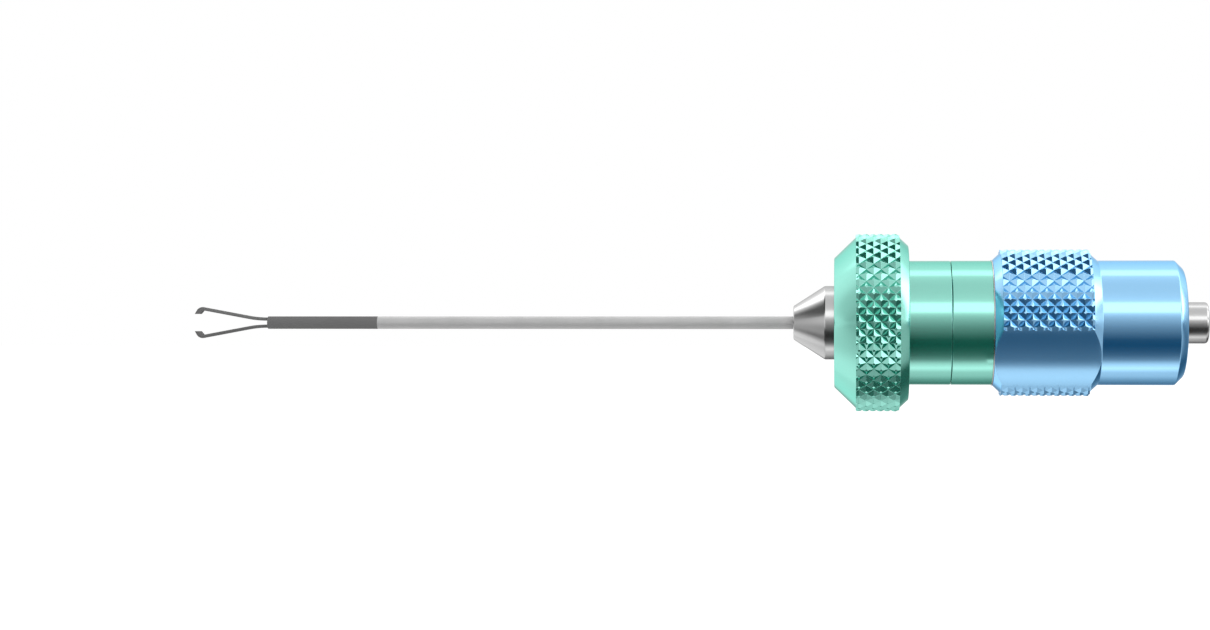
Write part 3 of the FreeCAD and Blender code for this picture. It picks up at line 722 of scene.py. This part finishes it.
def jaw_mesh(name, side):
    """Loft the section through the stations; side is 1 for the upper jaw and -1 for the lower."""
    work = bmesh.new()
    rings = []
    section = jaw_section()
    for inner, outer in jaw_stations():
        ring = []
        for across, height in section:
            point = inner.lerp(outer, height)
            y = across * JAW_WIDTH / 2 * MM
            ring.append(work.verts.new((point.x * MM, y, side * point.y * MM)))
        rings.append(ring)
    for ring, following in zip(rings, rings[1:]):
        for index in range(len(section)):
            beside = (index + 1) % len(section)
            work.faces.new((ring[index], ring[beside], following[beside], following[index]))
    work.faces.new(rings[0])
    work.faces.new(rings[-1])
    return closed_mesh(work, name, smooth=True)


for side, level in ((1, "upper"), (-1, "lower")):
    jaw = new_piece(f"hooked_{level}_jaw", jaw_mesh(f"{level}_jaw", side), "jaw_steel")
    settle(jaw, f"{level}_jaw_arm", "jaw_steel", f"{level}_jaw")

# CAD nodes take their slot's material, and the pieces inside are shown by them
for row in frame["record"]["subparts"]:
    node = frame["nodes"][row["node"]]
    node.data.materials.clear()
    node.data.materials.append(MATERIALS[row["material_slot"]])

# Studio: the floor, the world, and a shell of light all round that only reflections see
FLOOR_HEIGHT = -40.0
FLOOR_HALF = 3000.0
FLOOR_COLOUR = (0.9, 0.9, 0.9, 1)
FLOOR_FILL = 0.42
WHITE = (1, 1, 1, 1)
WORLD_LEVEL = 0.85
SEEN_WORLD_LEVEL = 1.0
SHELL_RADIUS = 300.0
SHELL_CENTRE = -6.0
SHELL_LIFT = 0.05
SHELL_SWEEP = (-89.0, 89.0)
SHELL_SWEEP_STEPS = 89
SHELL_TURNS = (-180.0, 180.0)
SHELL_TURN_STEPS = 180

# Light of the shell at each turn about X, counted up from the camera's side, in degrees
SHELL_LEFT_END = [
    (-180, 1.3), (-150, 1.5), (-115, 1.2), (-95, 0.95), (-60, 0.6), (0, 0.8), (60, 0.6), (95, 0.9),
    (108, 1.0), (118, 1.5), (150, 1.5), (180, 1.3),
]
SHELL_LEFT = [
    (-180, 1.4), (-140, 1.6), (-117, 1.5), (-92, 1.3), (-80, 0.7), (-68, 0.15), (-58, 0.4),
    (-45, 0.6), (-27, 0.5), (-12, 0.7), (5, 1.1), (28, 1.1), (38, 0.1), (80, 0.1), (98, 1.0),
    (110, 1.35), (128, 1.65), (150, 1.5), (180, 1.4),
]
SHELL_LEFT_INNER = [
    (-180, 1.4), (-150, 1.6), (-100, 1.0), (-84, 1.2), (-72, 0.7), (-60, 0.04), (-24, 0.04),
    (-14, 0.9), (0, 1.3), (28, 1.2), (36, 0.02), (88, 0.02), (99, 1.5), (107, 3.0), (126, 3.0),
    (134, 1.7), (150, 1.6), (180, 1.4),
]
SHELL_CENTRE_LINE = [
    (-180, 0.7), (-150, 0.26), (-128, 0.6), (-113, 1.0), (-101, 1.1), (-90, 1.8), (-80, 1.25),
    (-70, 0.38), (-61, 0.15), (-52, 0.06), (-41, 0.01), (-31, 0.03), (-22, 0.15), (-16, 0.25),
    (-8, 0.38), (0, 0.58), (6, 0.76), (12, 0.98), (17, 1.35), (21, 2.3), (36, 2.3), (40, 1.4),
    (48, 1.22), (60, 1.12), (75, 1.10), (87, 1.2), (96, 1.4), (100, 2.2), (110, 2.2),
    (118, 1.5), (150, 1.35), (180, 0.7),
]
SHELL_RIGHT = [
    (-180, 0.5), (-157, 0.28), (-144, 0.08), (-120, 0.05), (-105, 0.2), (-90, 0.9), (-76, 1.0),
    (-64, 0.5), (-56, 0.03), (-28, 0.06), (-14, 0.8), (-2, 1.2), (6, 2.6), (20, 2.6), (27, 1.0),
    (34, 1.2), (42, 2.7), (84, 2.7), (92, 1.6), (100, 1.8), (107, 2.8), (125, 2.8), (134, 1.6),
    (150, 1.45), (180, 0.5),
]
SHELL_RIGHT_END = [
    (-180, 0.5), (-132, 0.15), (-123, 0.3), (-113, 0.62), (-100, 0.75), (-60, 0.7), (20, 1.2),
    (60, 1.6), (90, 1.2), (98, 1.9), (103, 4.2), (124, 4.2), (130, 1.3), (180, 0.5),
]
SHELL_STATIONS = [
    SHELL_LEFT_END, SHELL_LEFT, SHELL_LEFT_INNER, SHELL_CENTRE_LINE, SHELL_RIGHT, SHELL_RIGHT_END,
]

# Between which sweeps each station gives way to the next
SHELL_BLENDS = [(-72, -58), (-50, -44), (-24, -8), (20, 40), (52, 62)]

# The small card lies close under the flat, and its light changes with its depth, in millimetres
FLAT_CARD_HEIGHT = -6.0
FLAT_CARD_PLACES = (-4.98, 0.42)
FLAT_CARD_DEPTHS = (-5.8, -2.75)
FLAT_CARD_LEVELS = [
    (-5.8, 0.07), (-5.2, 0.08), (-4.8, 0.12), (-4.2, 0.20), (-3.95, 0.5), (-3.7, 1.25),
    (-3.3, 1.35), (-2.75, 1.0),
]

# Soft box over the object; its sizes and place are in millimetres, its power in watts
LAMP_SIZES = (300.0, 200.0)
LAMP_PLACE = (-20.0, -40.0, 250.0)
LAMP_TILT = math.radians(-9)
LAMP_POWER = 0.06

# The photograph's camera
CAMERA_PLACE = (-12.73, -126.26, 0.39)
CAMERA_YAW = math.radians(5.37)
CAMERA_LENS = 74.38
CAMERA_SENSOR = 36.0
CAMERA_CLIP = (1.0, 20000.0)


def share(value, limits):
    """Where a value lies between two limits, from 0 to 1."""
    return (value - limits[0]) / (limits[1] - limits[0])


def reflector(name, mesh, stations, blends, across, along):
    """A card that only reflections see, its light blended between stations across its UV map.

    Each station is a ramp along the map; across and along are what the map's sides stand for.
    """
    material = bpy.data.materials.new(name)
    tree = node_tree(material)
    link = tree.links.new
    split = add_node(tree, "ShaderNodeSeparateXYZ")
    link(add_node(tree, "ShaderNodeTexCoord").outputs["UV"], split.inputs[0])
    brightest = max(level for station in stations for _, level in station)
    colours = []
    for station in stations:
        stops = [(share(at, along), level / brightest) for at, level in station]
        colours.append(ramp(tree, split.outputs["Y"], stops))
    blended = colours[0]
    for colour, (blend_start, blend_end) in zip(colours[1:], blends):
        part = add_node(tree, "ShaderNodeMapRange", interpolation_type="SMOOTHSTEP")
        part.inputs["From Min"].default_value = share(blend_start, across)
        part.inputs["From Max"].default_value = share(blend_end, across)
        link(split.outputs["X"], part.inputs["Value"])
        mix = add_node(tree, "ShaderNodeMix", data_type="RGBA")
        link(part.outputs[0], mix.inputs["Factor"])
        link(blended, mix.inputs[6])
        link(colour, mix.inputs[7])
        blended = mix.outputs[2]
    glow = add_node(tree, "ShaderNodeEmission", Strength=brightest)
    link(blended, glow.inputs["Color"])
    put_out(tree, glow.outputs[0])
    mesh.materials.append(material)
    card = bpy.data.objects.new(name, mesh)
    bpy.context.scene.collection.objects.link(card)
    card.visible_camera = False
    card.visible_diffuse = False
    card.visible_shadow = False
    card.visible_transmission = False


def card_mesh(name, across, along, across_steps, along_steps, place_at):
    """A card of faces over two ranges; place_at gives the point for a pair of values."""
    work = bmesh.new()
    layer = work.loops.layers.uv.new("UVMap")
    grid = []
    for along_step in range(along_steps + 1):
        v = along_step / along_steps
        row = []
        for across_step in range(across_steps + 1):
            u = across_step / across_steps
            point = place_at(
                across[0] + (across[1] - across[0]) * u,
                along[0] + (along[1] - along[0]) * v,
            )
            row.append((work.verts.new(point), (u, v)))
        grid.append(row)
    for row, following in zip(grid, grid[1:]):
        for index in range(across_steps):
            corners = (row[index], row[index + 1], following[index + 1], following[index])
            face = work.faces.new([vert for vert, _ in corners])
            for loop, (_, place) in zip(face.loops, corners):
                loop[layer].uv = place
    mesh = bpy.data.meshes.new(name)
    work.to_mesh(mesh)
    work.free()
    return mesh


def shell_point(sweep, turn):
    """A point of the shell, by its swing along X and its turn about X; the floor cuts it flat."""
    out = math.cos(math.radians(sweep))
    ahead = math.sin(math.radians(sweep))
    depth = -out * math.cos(math.radians(turn))
    height = out * math.sin(math.radians(turn))
    reach = SHELL_RADIUS
    lowest = FLOOR_HEIGHT + SHELL_LIFT
    if height * reach < lowest:
        reach = lowest / height
    return Vector((SHELL_CENTRE + ahead * reach, depth * reach, height * reach)) * MM


def flat_card_point(x, y):
    """A point of the small card under the flat."""
    return Vector((x, y, FLAT_CARD_HEIGHT)) * MM


def add_reflectors():
    """The shell of light all round, and the small card under the flat."""
    shell = card_mesh(
        "light_shell", SHELL_SWEEP, SHELL_TURNS, SHELL_SWEEP_STEPS, SHELL_TURN_STEPS, shell_point
    )
    reflector("light_shell", shell, SHELL_STATIONS, SHELL_BLENDS, SHELL_SWEEP, SHELL_TURNS)
    card = card_mesh("flat_card", FLAT_CARD_PLACES, FLAT_CARD_DEPTHS, 1, 1, flat_card_point)
    reflector("flat_card", card, [FLAT_CARD_LEVELS], [], FLAT_CARD_PLACES, FLAT_CARD_DEPTHS)


def add_floor():
    """A pale floor that keeps the object's shadow and is filled up where it is seen."""
    signs = ((-1, -1), (1, -1), (1, 1), (-1, 1))
    half = FLOOR_HALF * MM
    mesh = bpy.data.meshes.new("floor")
    mesh.from_pydata([(x * half, y * half, FLOOR_HEIGHT * MM) for x, y in signs], [], [(0, 1, 2, 3)])
    material = bpy.data.materials.new("floor")
    tree = node_tree(material)
    matte = add_node(tree, "ShaderNodeBsdfDiffuse", Color=FLOOR_COLOUR)
    white = add_node(tree, "ShaderNodeEmission", Color=WHITE)
    fill = add_node(tree, "ShaderNodeMath", operation="MULTIPLY")
    fill.inputs[1].default_value = FLOOR_FILL
    tree.links.new(seen_share(tree), fill.inputs[0])
    tree.links.new(fill.outputs[0], white.inputs["Strength"])
    put_out(tree, added(tree, matte.outputs[0], white.outputs[0]))
    mesh.materials.append(material)
    floor = bpy.data.objects.new("floor", mesh)
    bpy.context.scene.collection.objects.link(floor)


def add_world():
    """A world that is white where it is seen and lights the object at a plain level."""
    world = bpy.data.worlds.new("studio")
    bpy.context.scene.world = world
    tree = node_tree(world)
    background = add_node(tree, "ShaderNodeBackground", Color=WHITE)
    level = spread(tree, seen_share(tree), WORLD_LEVEL, SEEN_WORLD_LEVEL)
    tree.links.new(level, background.inputs["Strength"])
    put_out(tree, background.outputs[0], "ShaderNodeOutputWorld")


def add_lamp():
    """A soft box that neither the camera nor a reflection sees."""
    data = bpy.data.lights.new("soft_box", "AREA")
    data.shape = "RECTANGLE"
    data.size = LAMP_SIZES[0] * MM
    data.size_y = LAMP_SIZES[1] * MM
    data.energy = LAMP_POWER
    lamp = bpy.data.objects.new("soft_box", data)
    lamp.location = tuple(place * MM for place in LAMP_PLACE)
    lamp.rotation_euler = (LAMP_TILT, 0, 0)
    lamp.visible_glossy = False
    lamp.visible_camera = False
    bpy.context.scene.collection.objects.link(lamp)


def add_camera():
    """The camera at the photograph's place."""
    data = bpy.data.cameras.new("camera")
    data.sensor_width = CAMERA_SENSOR
    data.lens = CAMERA_LENS
    data.clip_start = CAMERA_CLIP[0] * MM
    data.clip_end = CAMERA_CLIP[1] * MM
    camera = bpy.data.objects.new("camera", data)
    camera.location = tuple(place * MM for place in CAMERA_PLACE)
    camera.rotation_euler = (math.pi / 2, 0, CAMERA_YAW)
    bpy.context.scene.collection.objects.link(camera)
    bpy.context.scene.camera = camera


add_reflectors()
add_floor()
add_world()
add_lamp()
add_camera()
bpy.context.scene.view_settings.view_transform = "Standard"
